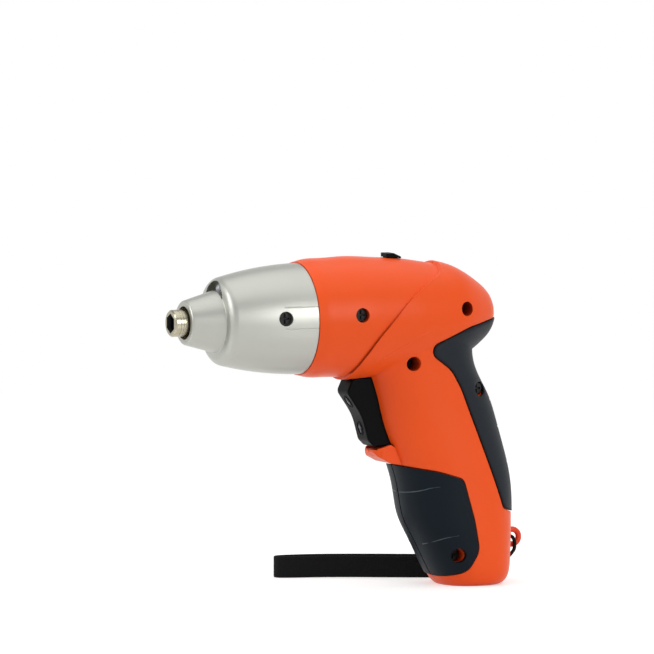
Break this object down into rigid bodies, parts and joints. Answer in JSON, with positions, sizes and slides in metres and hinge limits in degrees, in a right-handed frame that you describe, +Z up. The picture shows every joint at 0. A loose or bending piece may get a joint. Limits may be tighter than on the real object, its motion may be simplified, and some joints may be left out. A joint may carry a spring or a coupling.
{
  "type": "electric screwdriver",
  "caption": "Cordless pistol-grip screwdriver with a hex bit socket, planetary drive, rocker trigger, lamp, rubber grips and a wrist strap.",
  "frame": {"origin": "centre of the flat base that the tool stands on", "axes": "+Z up, the nose points along -X, the tool's left side faces -Y"},
  "size_m": [0.1601, 0.0826, 0.1388],
  "materials": {
    "orange_abs": "moulded, semi-gloss",
    "silver_cover": "metallic silver paint",
    "grey_rubber": "overmoulded, fine matte",
    "black_rubber": "overmoulded, satin",
    "black_plastic": "moulded, satin",
    "turned_steel": "turned, nickel plated",
    "black_screw": "black oxide",
    "bronze": "sintered",
    "nylon": "moulded gear nylon",
    "motor_steel": "drawn, zinc plated",
    "ferrite": "sintered magnet",
    "clear_lamp": "clear moulded resin",
    "cell_sleeve": "cell in shrink sleeve, weight of a real cell",
    "nickel_strip": "spot-welded strip",
    "wire_cover": "flexible insulation",
    "eyelet_abs": "moulded",
    "strap_fabric": "woven webbing"
  },
  "bodies": {
    "housing": {"left_housing": "orange_abs", "right_housing": "orange_abs", "nose_cover": "silver_cover", "left_palm_grip": "grey_rubber", "right_palm_grip": "grey_rubber", "left_finger_grip": "black_rubber", "right_finger_grip": "black_rubber", "spindle_bush": "bronze", "thrust_washer": "turned_steel", "gearbox_case": "nylon", "gearbox_plate": "motor_steel", "motor_can": "motor_steel", "motor_magnets": "ferrite", "motor_end_cap": "black_plastic", "motor_bushes": "bronze", "motor_cradle": "black_plastic", "nose_screws": "black_screw", "barrel_screws": "black_screw", "housing_screws": "black_screw", "trigger_pin": "turned_steel", "switch_body": "black_plastic", "lamp_switch": "black_plastic", "lamp": "clear_lamp", "cell_tabs": "nickel_strip", "charge_socket": "black_plastic", "motor_wires": "wire_cover", "battery_wires": "wire_cover", "strap_eyelet": "eyelet_abs", "strap_webbing": "strap_fabric", "strap_cord": "strap_fabric", "strap_clasp": "black_plastic", "battery_cell_1": "cell_sleeve", "battery_cell_2": "cell_sleeve", "battery_cell_3": "cell_sleeve"},
    "spindle": {"spindle": "turned_steel", "bit_ring": "turned_steel", "socket_magnet": "ferrite"},
    "stage_carrier": {"stage_carrier": "turned_steel"},
    "rotor": {"armature": "motor_steel", "pinion": "bronze"},
    "trigger": {"trigger": "black_plastic"},
    "upper_plunger": {"upper_plunger": "nylon"},
    "lower_plunger": {"lower_plunger": "nylon"},
    "slide_knob": {"slide_knob": "black_plastic"},
    "output_planet_1": {"output_planet_1": "nylon"},
    "output_planet_2": {"output_planet_2": "nylon"},
    "output_planet_3": {"output_planet_3": "nylon"},
    "input_planet_1": {"input_planet_1": "nylon"},
    "input_planet_2": {"input_planet_2": "nylon"},
    "input_planet_3": {"input_planet_3": "nylon"}
  },
  "joints": [
    {"name": "rotor_spin", "type": "hinge", "parent": "housing", "child": "rotor", "pos_m": [-0.06, 0, 0.113], "axis": [1, 0, 0], "continuous": true},
    {"name": "stage_carrier_spin", "type": "hinge", "parent": "housing", "child": "stage_carrier", "pos_m": [-0.094, 0, 0.113], "axis": [1, 0, 0], "continuous": true},
    {"name": "spindle_spin", "type": "hinge", "parent": "housing", "child": "spindle", "pos_m": [-0.134, 0, 0.113], "axis": [1, 0, 0], "continuous": true},
    {"name": "output_planet_1_spin", "type": "hinge", "parent": "spindle", "child": "output_planet_1", "pos_m": [-0.097, 0.00743, 0.113], "axis": [1, 0, 0], "continuous": true},
    {"name": "output_planet_2_spin", "type": "hinge", "parent": "spindle", "child": "output_planet_2", "pos_m": [-0.097, -0.00371, 0.11943], "axis": [1, 0, 0], "continuous": true},
    {"name": "output_planet_3_spin", "type": "hinge", "parent": "spindle", "child": "output_planet_3", "pos_m": [-0.097, -0.00371, 0.10657], "axis": [1, 0, 0], "continuous": true},
    {"name": "input_planet_1_spin", "type": "hinge", "parent": "stage_carrier", "child": "input_planet_1", "pos_m": [-0.087, 0.00743, 0.113], "axis": [1, 0, 0], "continuous": true},
    {"name": "input_planet_2_spin", "type": "hinge", "parent": "stage_carrier", "child": "input_planet_2", "pos_m": [-0.087, -0.00371, 0.11943], "axis": [1, 0, 0], "continuous": true},
    {"name": "input_planet_3_spin", "type": "hinge", "parent": "stage_carrier", "child": "input_planet_3", "pos_m": [-0.087, -0.00371, 0.10657], "axis": [1, 0, 0], "continuous": true},
    {"name": "trigger_rock", "type": "hinge", "parent": "housing", "child": "trigger", "pos_m": [-0.03656, 0, 0.073], "axis": [0, 1, 0], "range_deg": [-4, 4], "stiffness_Nm_per_rad": 0.05},
    {"name": "upper_plunger_slide", "type": "slide", "parent": "housing", "child": "upper_plunger", "axis": [1, 0, 0], "range_m": [-0.0006, 0.0006]},
    {"name": "lower_plunger_slide", "type": "slide", "parent": "housing", "child": "lower_plunger", "axis": [1, 0, 0], "range_m": [-0.0006, 0.0006]},
    {"name": "knob_slide", "type": "slide", "parent": "housing", "child": "slide_knob", "axis": [1, 0, 0], "range_m": [0, 0.003]}
  ],
  "couplings": [
    {"joint": "stage_carrier_spin", "follows": "rotor_spin", "ratio": 0.16667},
    {"joint": "spindle_spin", "follows": "rotor_spin", "ratio": 0.027778},
    {"joint": "output_planet_1_spin", "follows": "rotor_spin", "ratio": -0.069444},
    {"joint": "output_planet_2_spin", "follows": "rotor_spin", "ratio": -0.069444},
    {"joint": "output_planet_3_spin", "follows": "rotor_spin", "ratio": -0.069444},
    {"joint": "input_planet_1_spin", "follows": "rotor_spin", "ratio": -0.41667},
    {"joint": "input_planet_2_spin", "follows": "rotor_spin", "ratio": -0.41667},
    {"joint": "input_planet_3_spin", "follows": "rotor_spin", "ratio": -0.41667},
    {"joint": "upper_plunger_slide", "follows": "trigger_rock", "m_per_rad": 0.007},
    {"joint": "lower_plunger_slide", "follows": "trigger_rock", "m_per_rad": -0.007}
  ]
}
